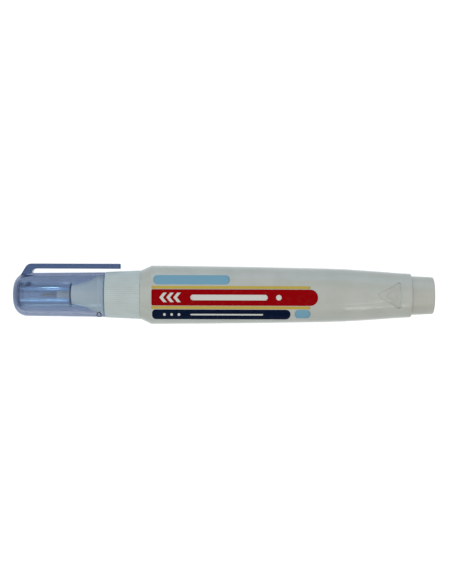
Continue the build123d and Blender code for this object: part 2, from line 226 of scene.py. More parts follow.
class PenStageSettings(bpy.types.PropertyGroup):
    """Camera, lamps and floor."""

    lens: number("Lens", "Focal length in millimetres", 95.6, min=1)
    distance: length("Distance", "Height of the camera over the pen's axis", 518)
    centre_x: length("Centre X", "Point that the camera looks at, along the pen", -4.27)
    centre_y: length("Centre Y", "Point that the camera looks at, across the pen", 1.0)
    roll: angle("Roll", "Turn of the camera", 0.18)
    sky: number("Sky", "Strength of the even light", 0.74, min=0)
    panel: number("Panel", "Power of the panel overhead", 3.4, min=0, unit="POWER")
    streaks: number("Streaks", "Radiance of the small lamps that only show as streaks", 1.0, min=0)
    fill: number("Fill", "Power of the cool lamp", 1.4, min=0, unit="POWER")
    front: number("Front", "Power of the small cool lamp", 0.13, min=0, unit="POWER")
    floor_glow: number("Floor Glow", "White added to the floor's look", 0.72, min=0, subtype="FACTOR")


def unit(vector):
    """The vector scaled to length one."""
    return vector / np.linalg.norm(vector)


def circle(count):
    """Angles of a full turn in even steps."""
    return np.linspace(0, 2 * math.pi, count, endpoint=False)


def stacked(*coordinates):
    """Points from one array for each coordinate, brought to one shape."""
    return np.stack(np.broadcast_arrays(*coordinates), -1)


def rounded_line(corners, radii, steps):
    """Open line through corners, where each inner corner becomes an arc.

    An arc of radius r in a corner of half angle h touches both runs r / tan(h) from the
    corner, round a centre r / sin(h) along the bisector, and is a slerp of its two spokes.
    """
    corners = np.array(corners, float)
    share = np.linspace(0, 1, steps + 1)[:, None]
    pieces = [corners[:1]]
    for before, corner, after, radius in zip(corners, corners[1:], corners[2:], radii):
        back = unit(before - corner)
        ahead = unit(after - corner)
        half = math.acos(np.clip(back @ ahead, -1, 1)) / 2
        centre = corner + unit(back + ahead) * radius / math.sin(half)
        first = corner + back * radius / math.tan(half) - centre
        last = corner + ahead * radius / math.tan(half) - centre
        sweep = math.pi - 2 * half
        arc = first * np.sin((1 - share) * sweep) + last * np.sin(share * sweep)
        pieces.append(centre + arc / math.sin(sweep))
    pieces.append(corners[-1:])
    return np.vstack(pieces)


def evenly(line, count):
    """The line read again at evenly spaced distances along it."""
    run = np.concatenate([[0], np.cumsum(np.linalg.norm(np.diff(line, axis=0), axis=1))])
    at = np.linspace(0, run[-1], count)
    return stacked(*[np.interp(at, run, coordinate) for coordinate in line.T])


def grid_faces(rows, columns, wrap, ring=False):
    """Quads between neighbouring rows and columns, whose ends join where wrap or ring is set."""
    row = np.arange(rows if ring else rows - 1)[:, None]
    column = np.arange(columns if wrap else columns - 1)[None]
    here = row * columns
    below = (row + 1) % rows * columns
    following = (column + 1) % columns
    quads = stacked(here + column, here + following, below + following, below + column)
    return quads.reshape(-1, 4)


def link(name, points, faces):
    """Mesh object at the origin with the points and faces given."""
    mesh = bpy.data.meshes.new(name)
    mesh.from_pydata(points.reshape(-1, 3).tolist(), [], faces)
    mesh.validate()
    piece = bpy.data.objects.new(name, mesh)
    bpy.context.scene.collection.objects.link(piece)
    return piece


def face_outwards(mesh):
    """Turns the faces of a closed mesh outwards."""
    shape = bmesh.new()
    shape.from_mesh(mesh)
    bmesh.ops.recalc_face_normals(shape, faces=shape.faces)
    shape.to_mesh(mesh)
    shape.free()


def closed_tube(name, rings, start, end):
    """Skin over rings of points with a fan to a pole at either end."""
    rows, columns = rings.shape[:2]
    points = np.vstack([rings.reshape(-1, 3), start, end])
    around = np.arange(columns)
    following = (around + 1) % columns
    last = (rows - 1) * columns
    first_fan = stacked(rows * columns, following, around)
    last_fan = stacked(rows * columns + 1, last + around, last + following)
    faces = grid_faces(rows, columns, wrap=True).tolist() + first_fan.tolist() + last_fan.tolist()
    piece = link(name, points, faces)
    face_outwards(piece.data)
    return piece


def turned(name, profile, sides):
    """Body of revolution: profile points (x, r) carried round the pen's axis.

    A point at angle a is (x, r cos a, axis height + r sin a). The profile starts and
    ends on the axis, and those two points are the poles.
    """
    turn = circle(sides)[None]
    station = profile[1:-1, :1]
    radius = profile[1:-1, 1:]
    rings = stacked(station, radius * np.cos(turn), AXIS_HEIGHT + radius * np.sin(turn))
    poles = [(profile[end, 0], 0, AXIS_HEIGHT) for end in (0, -1)]
    return closed_tube(name, rings, *poles)


def shade_softly(mesh):
    """Shades every face smoothly."""
    mesh.polygons.foreach_set("use_smooth", np.ones(len(mesh.polygons), bool))


def smooth(piece, degrees):
    """Shades the piece smoothly, with sharp edges above an angle."""
    shade_softly(piece.data)
    piece.data.set_sharp_from_angle(angle=math.radians(degrees))
    piece.modifiers.new("Weighted Normal", "WEIGHTED_NORMAL").keep_sharp = True


def barrel_height(x, y, steps=400):
    """Height of the printed face above the axis.

    Across, the face is flat at first and then a cubic curve: with t from 0 to 1 and s = 1 - t its
    outward share is 3 s^2 t f + 3 s t^2 + t^3 and its height share s^3 + 3 s^2 t + 3 s t^2 g, with
    f and g the fullness of face and side. Height is read back from width.
    """
    form = bpy.context.scene.pen_barrel
    along = (x - form.grip_front) / (form.grip_rear - form.grip_front)
    straight = form.front_half_width + (form.rear_half_width - form.front_half_width) * along
    half_width = straight + form.bow * 4 * along * (1 - along)
    t = np.linspace(0, 1, steps)
    s = 1 - t
    out = 3 * s ** 2 * t * form.face_fullness + 3 * s * t ** 2 + t ** 3
    up = s ** 3 + 3 * s ** 2 * t + 3 * s * t ** 2 * form.side_fullness
    share = np.clip((np.abs(y) - form.flat_half) / (half_width - form.flat_half), 0, 1)
    return AXIS_HEIGHT * np.interp(share, out, up)


def print_mark(x0, x1, y0, y1, left=0.0, right=0.0, point=0.0):
    """Grid of points of one flat mark on the printed face, from sizes in millimetres.

    Each row runs from the left end to the right end at its own y. A rounded end of radius r
    draws a row in by r - sqrt(r^2 - d^2), d being how far the row is past the arc's centre.
    Point moves the rows off the middle along x.
    """
    row_step = 0.2
    column_step = 0.8
    rows = 2 + max(6, int((y1 - y0) / row_step))
    columns = 2 + max(4, int((x1 - x0) / column_step))
    v = 0.5 - 0.5 * np.cos(np.linspace(0, math.pi, rows))
    y = y0 + (y1 - y0) * v
    edge = np.minimum(y - y0, y1 - y)
    shift = point * np.abs(2 * v - 1)
    drawn = [r - np.sqrt(np.maximum(r ** 2 - np.maximum(r - edge, 0) ** 2, 0)) for r in (left, right)]
    starts = (x0 + shift + drawn[0])[:, None]
    ends = (x1 + shift - drawn[1])[:, None]
    u = np.linspace(0, 1, columns)[None]
    x = starts * (1 - u) + ends * u
    return stacked(x, y[:, None]) * MM


def printed(name, marks, lift, film, material):
    """Thin film of ink: every mark is laid on the barrel and lifted along the face's normal.

    The normal is (-dz/dx, -dz/dy, 1) made one long, with both slopes taken as differences.
    """
    step = 0.02 * MM
    points = []
    faces = []
    count = 0
    for mark in marks:
        x = mark[..., 0]
        y = mark[..., 1]
        slope_x = (barrel_height(x + step, y) - barrel_height(x - step, y)) / (2 * step)
        slope_y = (barrel_height(x, y + step) - barrel_height(x, y - step)) / (2 * step)
        normal = stacked(-slope_x, -slope_y, 1.0)
        normal /= np.linalg.norm(normal, axis=-1, keepdims=True)
        face = stacked(x, y, AXIS_HEIGHT + barrel_height(x, y))
        points.append((face + lift * normal).reshape(-1, 3))
        faces += (grid_faces(*x.shape, wrap=False) + count).tolist()
        count += x.size
    piece = link(name, np.vstack(points), faces)
    shade_softly(piece.data)
    thick = piece.modifiers.new("Film", "SOLIDIFY")
    thick.thickness = film
    thick.offset = -1
    piece.data.materials.append(material)
    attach(piece, "barrel")


def domed(x, rise, radius, steps=10):
    """Part of a circle in half section, from the axis at x out to a radius, a rise further on.

    The circle's radius is half of (radius squared + rise squared) over the rise.
    """
    ball = (radius ** 2 + rise ** 2) / (2 * rise)
    out = np.linspace(0, radius, steps)
    return stacked(x + ball - np.sqrt(ball ** 2 - out ** 2), out)


def cap_profile(cap, arc_steps=12):
    """Half section of the cap, out over the closed end to the mouth and back along the bore.

    The bore's closed corner is an arc about the same centre as the outer one, smaller by the
    wall, from the bore to the ring that holds the sleeve.
    """
    end = SHELL_LOW.x
    mouth = SHELL_HIGH.x
    floor = end + cap.end_wall
    rim = floor + cap.socket_depth
    outer_end = SHELL_RADIUS - cap.narrowing
    bore = SHELL_RADIUS - cap.wall
    bore_end = bore - cap.narrowing
    socket = cap.socket_radius
    ring = socket + cap.socket_wall
    soft = cap.rim_radius
    mouth_edge = 1.4 * soft
    socket_edge = 0.3 * soft
    corner = cap.end_radius
    inner_corner = corner - cap.wall
    foot = math.asin((ring - outer_end + corner) / inner_corner)
    turn = np.linspace(math.pi / 2, foot, arc_steps)
    arc = stacked(
        end + corner - inner_corner * np.cos(turn), outer_end - corner + inner_corner * np.sin(turn))
    outside = rounded_line(
        [(end, 0), (end, outer_end), (mouth, SHELL_RADIUS), (mouth, bore), (end + corner, bore_end)],
        [corner, mouth_edge, soft], steps=10)
    seat = rounded_line(
        [(arc[-1, 0], ring), (rim, ring), (rim, socket), (floor + cap.sleeve_dome, socket)],
        [soft, socket_edge], steps=6)
    dome = domed(floor, cap.sleeve_dome, socket)
    return np.vstack([outside, arc[1:-1], seat[:-1], dome[::-1]])


def moulded_loop(name, cap, steps=48, sides=10):
    """Raised oval line on the cap's wall, half sunk into it.

    Round the oval an angle a gives the outward pair (cos a, sin a). The line's middle is half a
    width times cos a along the cap and half a length times sin a round it. Round the line an
    angle b adds w cos b along the outward pair and w sin b away from the pen's axis.
    """
    sink = 0.05 * MM
    round_oval = circle(steps)[:, None]
    round_line = circle(sides)[None]
    outwards = cap.loop_wire * np.cos(round_line)
    station = SHELL_HIGH.x - cap.loop_place + (cap.loop_half_width + outwards) * np.cos(round_oval)
    turn = cap.loop_turn + (cap.loop_half_length + outwards) * np.sin(round_oval) / SHELL_RADIUS
    radius = SHELL_RADIUS - sink + cap.loop_wire * np.sin(round_line)
    points = stacked(station, -radius * np.sin(turn), AXIS_HEIGHT + radius * np.cos(turn))
    loop = link(name, points, grid_faces(steps, sides, wrap=True, ring=True).tolist())
    face_outwards(loop.data)
    return loop


def moulded_pip(name, cap, steps=18, sides=24):
    """Egg-shaped pip on the sleeve's side, half sunk into it.

    With a half length a along the pen, a radius b across it and angles u along and v round,
    a point is the pip's middle plus (-a cos u, b sin u cos v, b sin u sin v).
    """
    along = np.linspace(0, math.pi, steps)[1:-1, None]
    around = circle(sides)[None]
    middle = np.array([SHELL_LOW.x + cap.pip_place, cap.sleeve_radius - cap.pip_sink, AXIS_HEIGHT])
    across = cap.pip_radius * np.sin(along)
    rings = middle + stacked(
        -cap.pip_half_length * np.cos(along), across * np.cos(around), across * np.sin(around))
    poles = [middle + (side * cap.pip_half_length, 0, 0) for side in (-1, 1)]
    return closed_tube(name, rings, *poles)


def sleeve_profile(cap):
    """Half section of the sealing sleeve, a cup with a domed end and a flared lip."""
    play = 0.04 * MM
    radii = [0.8 * MM, 0.15 * MM, 0.3 * MM]
    base = SLEEVE_LOW.x + play
    rim = SLEEVE_HIGH.x
    lip = (SLEEVE_HIGH.z - SLEEVE_LOW.z) / 2
    bore = cap.sleeve_radius - cap.sleeve_wall
    outside = domed(base, cap.sleeve_dome, cap.sleeve_radius)
    inside = domed(base + cap.sleeve_wall, 0.5 * cap.sleeve_dome, bore)
    wall = rounded_line(
        [outside[-1], (rim - cap.lip_length, cap.sleeve_radius), (rim, lip), (rim, bore), inside[-1]],
        radii, steps=6)
    return np.vstack([outside[:-1], wall, inside[-2::-1]])


def clip_body(name, clip, steps=96, sides=32):
    """The clip as a rounded oblong carried along its side view.

    The outer line climbs the foot, rounds the heel and runs out along the arm, and the inner
    line does the same inside it. Each pair of points spans one section, and its corner radius
    is the edge radius. Width runs straight from root to tip and is drawn in round the tip.
    """
    top = CLIP_HIGH.y
    tip = CLIP_HIGH.x
    under = SHELL_RADIUS + clip.gap
    slope = math.tan(clip.foot_angle)
    heel = SHELL_LOW.x + clip.heel
    crotch = heel - (top - under) / slope + clip.foot_thickness / math.sin(clip.foot_angle)
    outer_base = 6.1 * MM
    inner_base = 6.4 * MM
    outer = [(heel - (top - outer_base) / slope, outer_base), (heel, top), (tip, top)]
    inner = [(crotch - (under - inner_base) / slope, inner_base), (crotch, under), (tip, under)]
    outer = evenly(rounded_line(outer, [clip.heel_radius], steps=16), steps)
    inner = evenly(rounded_line(inner, [clip.crotch_radius], steps=16), steps)
    middle = (outer + inner) / 2
    across = (outer - inner) / 2
    half = np.linalg.norm(across, axis=1)
    straight = np.interp(middle[:, 0], [SHELL_LOW.x, tip], [clip.root_width / 2, clip.tip_width / 2])

    # The free end is drawn in along two arcs, one in plan and one in side view
    tip_steps = 6
    crowding = 0.6
    reach = 0.999
    thinning = 0.15
    tail = np.linspace(0, 1, tip_steps + 1)[1:] ** crowding
    cut = middle[:, 0] < tip - clip.tip_radius
    arm_end = np.array([tip - clip.tip_radius, middle[-1, 1]])
    ends = arm_end + stacked(tail * clip.tip_radius * reach, 0.0)
    drawn = clip.tip_radius * (1 - np.sqrt(1 - (tail * reach) ** 2))
    middle = np.vstack([middle[cut], arm_end[None], ends])
    thick = half[-1]
    direction = np.vstack([across[cut] / half[cut][:, None], np.tile([0.0, 1.0], (tip_steps + 1, 1))])
    half = np.concatenate([half[cut], [thick], thick - thinning * drawn])
    width = np.concatenate([straight[cut], [clip.tip_width / 2], clip.tip_width / 2 - drawn])

    radius = clip.edge_radius
    turn = (np.arange(sides) + 0.5) / sides * 2 * math.pi
    cosine = np.cos(turn)[None]
    sine = np.sin(turn)[None]
    rise = np.sign(cosine) * (half[:, None] - radius) + radius * cosine
    side = np.sign(sine) * (width[:, None] - radius) + radius * sine
    rings = stacked(
        middle[:, :1] + direction[:, :1] * rise, middle[:, 1:] + direction[:, 1:] * rise,
        AXIS_HEIGHT + side)
    poles = [rings[end].mean(0) for end in (0, -1)]
    return closed_tube(name, rings, *poles)


def joined(body, addition):
    """One mesh from two closed ones, with the walls inside the join gone."""
    union = body.modifiers.new("Union", "BOOLEAN")
    union.operation = "UNION"
    union.solver = "EXACT"
    union.object = addition
    depsgraph = bpy.context.evaluated_depsgraph_get()
    mesh = bpy.data.meshes.new_from_object(body.evaluated_get(depsgraph))
    body.modifiers.clear()
    body.data = mesh
    bpy.data.objects.remove(addition)


def spring_body(name, valve, steps=40, sides=12):
    """Round wire wound into a helix about the pen's axis, with so many steps to a turn.

    The wire's middle is (x0 + h s, R cos a, R sin a) with a = 2 pi n s. Round it the wire's
    section is spanned by the outward spoke and by the spoke's cross product with the run.
    """
    wire = valve.wire / 2
    coil = (SPRING_HIGH.z - SPRING_LOW.z) / 2 - wire
    start = SPRING_LOW.x + wire
    height = SPRING_HIGH.x - SPRING_LOW.x - 2 * wire
    share = np.linspace(0, 1, int(valve.turns * steps) + 1)
    angles = 2 * math.pi * valve.turns * share
    cosine = np.cos(angles)
    sine = np.sin(angles)
    middle = stacked(start + height * share, coil * cosine, AXIS_HEIGHT + coil * sine)
    spoke = stacked(0.0, cosine, sine)
    run = stacked(height / (2 * math.pi * valve.turns), -coil * sine, coil * cosine)
    run /= np.linalg.norm(run, axis=1, keepdims=True)
    side = np.cross(run, spoke)
    turn = circle(sides)[None, :, None]
    rings = middle[:, None] + wire * np.cos(turn) * spoke[:, None] + wire * np.sin(turn) * side[:, None]
    return closed_tube(name, rings, middle[0], middle[-1])


def wire_up(target, value):
    """Links an output to a socket, or sets the socket to a plain value."""
    if isinstance(value, bpy.types.NodeSocket):
        target.id_data.links.new(value, target)
    else:
        target.default_value = value


def feed(node, **values):
    """Links or sets a node's sockets, named with underscores for spaces."""
    for label, value in values.items():
        wire_up(node.inputs[label.replace("_", " ")], value)


def add(tree, kind, **values):
    """New shader node in a tree, with values for its sockets."""
    node = tree.nodes.new("ShaderNode" + kind)
    feed(node, **values)
    return node


def new_group(name, outputs, **inputs):
    """Shader node group that takes coordinates and named inputs with a default each.

    A default of several numbers makes a colour input, and the output Colour is a colour.
    """
    tree = bpy.data.node_groups.new(name, "ShaderNodeTree")
    sockets = tree.interface
    sockets.new_socket("Vector", in_out="INPUT", socket_type="NodeSocketVector")
    for label, default in inputs.items():
        kind = "NodeSocketColor" if isinstance(default, tuple) else "NodeSocketFloat"
        socket = sockets.new_socket(label.replace("_", " "), in_out="INPUT", socket_type=kind)
        socket.default_value = default
    for label in outputs:
        kind = "NodeSocketColor" if label == "Colour" else "NodeSocketFloat"
        sockets.new_socket(label, in_out="OUTPUT", socket_type=kind)
    return tree.nodes.new("NodeGroupInput").outputs, tree.nodes.new("NodeGroupOutput")


def noise(vector, scale, detail=2.0):
    """Noise texture's value, with a scale in waves to a metre."""
    return add(vector.id_data, "TexNoise", Vector=vector, Scale=scale, Detail=detail).outputs["Fac"]


def ranged(value, low, high, to_low=0.0, to_high=1.0):
    """The value carried from one range to another, softly at both ends."""
    node = add(
        value.id_data, "MapRange", Value=value, From_Min=low, From_Max=high, To_Min=to_low,
        To_Max=to_high)
    node.interpolation_type = "SMOOTHSTEP"
    return node.outputs["Result"]


def spread(value, to_low=0.0, to_high=1.0):
    """Noise, which mostly lies between 0.3 and 0.7, carried to another range."""
    return ranged(value, 0.3, 0.7, to_low, to_high)


def maths(operation, first, second=0.0):
    """Result of a sum on two values."""
    node = add(first.id_data, "Math")
    node.operation = operation
    wire_up(node.inputs[0], first)
    wire_up(node.inputs[1], second)
    return node.outputs[0]


def mixed(share, first, second):
    """Two colours mixed by a share, with the node's colour sockets found by number."""
    node = add(share.id_data, "Mix")
    node.data_type = "RGBA"
    for socket, value in ((0, share), (6, first), (7, second)):
        wire_up(node.inputs[socket], value)
    return node.outputs[2]


def stretched(vector, scale, turn=(0.0, 0.0, 0.0)):
    """The coordinates turned and scaled by a different factor along each axis."""
    return add(vector.id_data, "Mapping", Vector=vector, Scale=scale, Rotation=turn).outputs["Vector"]


def part(vector, axis):
    """One coordinate of a vector."""
    return add(vector.id_data, "SeparateXYZ", Vector=vector).outputs[axis]


def shade(rgb, factor=1.0, towards=WHITE):
    """Opaque colour scaled by a factor and by a share for each channel."""
    return (*[min(1.0, c * factor * t) for c, t in zip(rgb, towards)], 1.0)


def build_groups():
    """Node groups shared by the pen's materials."""
    plain = shade(WHITE)
    surface = ("Colour", "Roughness", "Relief")

    given, result = new_group(
        "moulded_surface", surface, Light=plain, Deep=plain, Cloud_Scale=120.0, Smooth=0.25, Dull=0.4)
    place = given["Vector"]
    clouds = spread(noise(place, given["Cloud Scale"], 4.0))
    patches = noise(place, 420.0, 3.0)
    fine = noise(place, 5200.0, 1.0)
    wave = noise(place, 260.0, 1.0)
    feed(
        result, Colour=mixed(clouds, given["Light"], given["Deep"]),
        Roughness=spread(patches, given["Smooth"], given["Dull"]),
        Relief=maths("ADD", maths("MULTIPLY", fine, 0.25), wave))

    given, result = new_group("handling_marks", ("Mask",), Amount=0.3)
    place = given["Vector"]
    along = noise(stretched(place, (0.12, 1.0, 1.0)), 2600.0, 1.0)
    slanting = stretched(place, (0.1, 1.0, 1.0), turn=(0.3, 0.5, 0.9))
    crossing = noise(slanting, 1700.0, 1.0)
    where = ranged(noise(place, 95.0), 0.5, 0.7)
    lines = maths("MAXIMUM", ranged(along, 0.69, 0.75), ranged(crossing, 0.7, 0.76))
    shown = maths("MULTIPLY", lines, where)
    feed(result, Mask=maths("MULTIPLY", shown, given["Amount"]))

    given, result = new_group("parting_line", ("Mask",), Height=AXIS_HEIGHT, Width=0.07 * MM)
    off = maths("SUBTRACT", part(given["Vector"], "Z"), given["Height"])
    feed(result, Mask=ranged(maths("ABSOLUTE", off), 0.0, given["Width"], 1.0, 0.0))

    given, result = new_group("ink_film", surface, Ink=plain, Thin=plain)
    density = noise(given["Vector"], 700.0, 3.0)
    holes = noise(given["Vector"], 4200.0, 1.0)
    worn = maths("MULTIPLY", ranged(density, 0.45, 0.75), 0.18)
    pinholes = maths("MULTIPLY", ranged(holes, 0.74, 0.8), 0.3)
    bare = maths("MAXIMUM", worn, pinholes)
    feed(
        result, Colour=mixed(bare, given["Ink"], given["Thin"]),
        Roughness=spread(density, 0.26, 0.4), Relief=holes)

    given, result = new_group("turned_steel", surface, Steel=plain, Shade=plain, Ring_Scale=9000.0)
    place = given["Vector"]
    rings = noise(stretched(place, (1.0, 0.04, 0.04)), given["Ring Scale"], 1.0)
    bloom = ranged(noise(place, 900.0), 0.35, 0.7)
    feed(
        result, Colour=mixed(bloom, given["Steel"], given["Shade"]),
        Roughness=spread(rings, 0.12, 0.28), Relief=rings)


class Finish:
    """One material with its Principled shader, its coordinates and short ways to add to them."""

    def __init__(self, name):
        self.material = bpy.data.materials.new(name)
        self.material.use_nodes = True
        self.tree = self.material.node_tree
        self.shader = self.tree.nodes["Principled BSDF"]
        self.place = add(self.tree, "TexCoord").outputs["Object"]

    def group(self, name, **values):
        """Places a shared group, with Object coordinates and its own values."""
        node = add(self.tree, "Group")
        node.node_tree = bpy.data.node_groups[name]
        feed(node, Vector=self.place, **values)
        return node.outputs

    def set(self, **values):
        """Links or sets the shader's sockets."""
        feed(self.shader, **values)

    def bump(self, height, distance):
        """Feeds a height into the shader's normal by a Bump node."""
        self.set(Normal=add(self.tree, "Bump", Height=height, Distance=distance).outputs["Normal"])


def moulded_plastic(name, rgb, wear, dull=0.4, seam=False, front=None):
    """Slightly cloudy moulded plastic with handling marks and, if asked, a parting line.

    Front is a brighter colour painted ahead of the cap's mouth: painted light, which makes up for the
    light that the cap holds back from the part under it.
    """
    finish = Finish(name)
    mouth = SHELL_HIGH.x
    fade = 0.6 * MM
    body = finish.group(
        "moulded_surface", Light=shade(rgb, 1.03), Deep=shade(rgb, 0.95, (1.0, 1.0, 0.98)),
        Cloud_Scale=140.0, Smooth=dull - 0.03, Dull=dull + 0.03)
    soiled = shade(rgb, 0.8)
    marks = finish.group("handling_marks", Amount=wear)["Mask"]
    tone = mixed(maths("MULTIPLY", marks, 0.12), body["Colour"], soiled)
    relief = maths("SUBTRACT", body["Relief"], marks)
    # Painted light: ahead of the mouth the colour turns brighter, making up for the light that the cap
    # holds back
    if front:
        ahead = ranged(part(finish.place, "X"), mouth - fade, mouth, 1.0, 0.0)
        tone = mixed(ahead, tone, shade(front))
    if seam:
        line = finish.group("parting_line")["Mask"]
        tone = mixed(maths("MULTIPLY", line, 0.25), tone, soiled)
        relief = maths("ADD", relief, maths("MULTIPLY", line, 2.0))
    rough = maths("ADD", body["Roughness"], maths("MULTIPLY", marks, 0.1))
    finish.set(Base_Color=tone, Roughness=rough, IOR=1.5, Specular_IOR_Level=0.25)
    finish.bump(relief, 0.003 * MM)
    return finish.material


def clear_plastic(name, surface, edge, coat, gloss=1.5, rim_painted_shade=BLUE_RIM_SHADE, depth=1.0, mirrored=True):
    """Tinted see-through plastic, whose thick places turn deeper and whose rim is painted darker as
    painted shade.

    Light goes through almost straight, as it does through two sides of a thin wall, and the
    coat gives the gloss, but not at the rim. Light reaches what is inside through a Transparent
    shader on shadow and diffuse rays, and past many walls if the plastic isn't to be mirrored.
    """
    finish = Finish(name)
    tree = finish.tree
    cap = bpy.context.scene.pen_cap
    rim_start = edge - 0.6 * MM
    rim_full = edge - 0.15 * MM
    many_walls = 3.0
    body = finish.group(
        "moulded_surface", Light=shade(surface), Deep=shade(surface, 0.95), Cloud_Scale=200.0,
        Smooth=0.03, Dull=0.09)
    marks = finish.group("handling_marks", Amount=0.5)["Mask"]
    station = part(finish.place, "X")
    # Painted shade: the colour turns darker towards the rim, where the wall is seen edge on
    rim = ranged(station, rim_start, rim_full)
    finish.set(
        Base_Color=mixed(rim, body["Colour"], shade(surface, 1.0, rim_painted_shade)),
        Roughness=maths("ADD", body["Roughness"], maths("MULTIPLY", marks, 0.15)),
        Coat_Weight=ranged(station, rim_start, rim_full, coat, 0.0), Coat_IOR=gloss, IOR=1.05,
        Transmission_Weight=1.0)
    finish.bump(maths("SUBTRACT", body["Relief"], marks), 0.0012 * MM)
    clear = add(tree, "BsdfTransparent", Color=shade(CLEAR_WALL))
    path = add(tree, "LightPath").outputs
    lit = maths("MAXIMUM", path["Is Shadow Ray"], path["Is Diffuse Ray"])
    if not mirrored:
        deep = maths("GREATER_THAN", path["Transmission Depth"], many_walls)
        lit = maths("MAXIMUM", lit, deep)
    mix = add(tree, "MixShader")
    for socket, value in enumerate((lit, finish.shader.outputs[0], clear.outputs[0])):
        wire_up(mix.inputs[socket], value)
    inside = add(tree, "VolumeAbsorption", Color=shade(cap.glow), Density=depth * cap.depth)
    feed(tree.nodes["Material Output"], Surface=mix.outputs[0], Volume=inside.outputs[0])
    return finish.material


def bright_steel(name, rgb, ring_scale, dull=0.0):
    """Turned and polished metal, with a painted dark reflection where it faces the viewer."""
    finish = Finish(name)
    body = finish.group("turned_steel", Steel=shade(rgb), Shade=shade(rgb, 0.8), Ring_Scale=ring_scale)
    # Painted reflection: the colour is painted dark where the surface faces the viewer
    painted_dark_reflection = ranged(add(finish.tree, "LayerWeight").outputs["Facing"], 0.01, 0.1)
    tone = mixed(painted_dark_reflection, shade(rgb, 0.3), body["Colour"])
    finish.set(Base_Color=tone, Roughness=maths("ADD", body["Roughness"], dull), Metallic=1.0)
    finish.bump(body["Relief"], 0.002 * MM)
    return finish.material


def printing_ink(name, rgb):
    """Glossy screen-printed ink with thin spots and pinholes."""
    finish = Finish(name)
    bare = 0.05
    thin = [(1 - bare) * c + bare * w for c, w in zip(rgb, bpy.context.scene.pen_barrel.barrel)]
    film = finish.group("ink_film", Ink=shade(rgb), Thin=shade(thin))
    finish.set(
        Base_Color=film["Colour"], Roughness=film["Roughness"], IOR=1.5, Specular_IOR_Level=0.015)
    finish.bump(film["Relief"], 0.004 * MM)
    return finish.material


def dress(material, *nodes):
    """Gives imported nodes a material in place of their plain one."""
    for node in nodes:
        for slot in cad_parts[node].material_slots:
            slot.material = material


class PEN_OT_barrel(bpy.types.Operator):
    """Dresses the barrel, the nozzle with its collar and the tail plug"""

    bl_idname = "correction_pen.barrel"
    bl_label = "Barrel, Nozzle and Tail"

    def execute(self, context):
        tones = context.scene.pen_barrel
        build_groups()
        dress(moulded_plastic("milky_barrel", tones.barrel, wear=0.3, dull=0.13, seam=True), "barrel")
        # The nozzle's part under the cap gets a brighter colour as painted light
        dress(moulded_plastic("white_nozzle", tones.collar, wear=0.4, front=tones.cone_painted_light), "nozzle")
        dress(moulded_plastic("white_tail", tones.tail, wear=0.3, dull=0.24), "tail_plug")
        return {"FINISHED"}


class PEN_OT_valve(bpy.types.Operator):
    """Dresses the nib, the valve and the mixing balls, and winds the valve's spring"""

    bl_idname = "correction_pen.valve"
    bl_label = "Nib, Valve and Balls"

    def execute(self, context):
        valve = context.scene.pen_valve
        dress(moulded_plastic("pale_holder", valve.holder, wear=0.2), "nib_holder")
        dress(bright_steel("turned_nib", valve.nib, 9000.0, dull=0.3), "metal_nib", "valve_pin")
        balls = bright_steel("polished_ball", valve.steel, 1500.0)
        dress(balls, "mixing_ball_left", "mixing_ball_right")
        dress(moulded_plastic("natural_valve", valve.seal, wear=0.2), "valve_plunger", "spring_seat")
        spring = spring_body("valve_coil", valve)
        smooth(spring, 60)
        spring.data.materials.append(bright_steel("drawn_wire", valve.steel, 4000.0))
        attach(spring, "barrel")
        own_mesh(spring)
        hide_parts("valve_spring")
        return {"FINISHED"}


class PEN_OT_cap(bpy.types.Operator):
    """Builds the see-through cap in one piece with its clip, and the sealing sleeve inside it"""

    bl_idname = "correction_pen.cap"
    bl_label = "Cap, Clip and Sleeve"

    def execute(self, context):
        cap = context.scene.pen_cap
        shell = turned("clear_cap", cap_profile(cap), sides=128)
        joined(shell, clip_body("clip_blank", context.scene.pen_clip))
        smooth(shell, 40)
        wall = clear_plastic("blue_cap", cap.tint, SHELL_HIGH.x, coat=0.25)
        solid = clear_plastic("blue_clip", cap.clip_tint, CLIP_HIGH.x, coat=0.4, mirrored=False)
        shell.data.materials.clear()
        shell.data.materials.append(wall)
        shell.data.materials.append(solid)
        shell.data.polygons.foreach_set("material_index", self.on_clip(shell.data))
        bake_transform(shell)
        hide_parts("cap_shell", "cap_clip")

        loop = moulded_loop("cap_loop", cap)
        loop.data.materials.append(clear_plastic("blue_loop", cap.loop_tint, SHELL_HIGH.x, coat=0.05))
        pip = moulded_pip("cap_pip", cap)
        pip.data.materials.append(wall)
        for detail in (loop, pip):
            smooth(detail, 60)
            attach(detail, "cap")

        sleeve = turned("seal_sleeve", sleeve_profile(cap), sides=96)
        smooth(sleeve, 40)
        # The sleeve's rim gets a much darker painted shade
        sleeve.data.materials.append(clear_plastic(
            "blue_sleeve", cap.sleeve_tint, SLEEVE_HIGH.x, coat=1.0, gloss=3.0, rim_painted_shade=DARK_RIM_SHADE,
            depth=0.2))
        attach(sleeve, "cap")
        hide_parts("inner_cap")
        return {"FINISHED"}

    def on_clip(self, mesh):
        """One for each face of the clip, outside the cap's wall or at the root, and else nought."""
        root_height = 6.2 * MM
        root_front = SHELL_LOW.x + 1.8 * MM
        root_rear = SHELL_LOW.x + 6.0 * MM
        centres = np.empty(3 * len(mesh.polygons))
        mesh.polygons.foreach_get("center", centres)
        x, y, _ = centres.reshape(-1, 3).T
        at_root = (y > root_height) & (x > root_front) & (x < root_rear)
        return (at_root | (y > SHELL_RADIUS)).astype(np.int32)


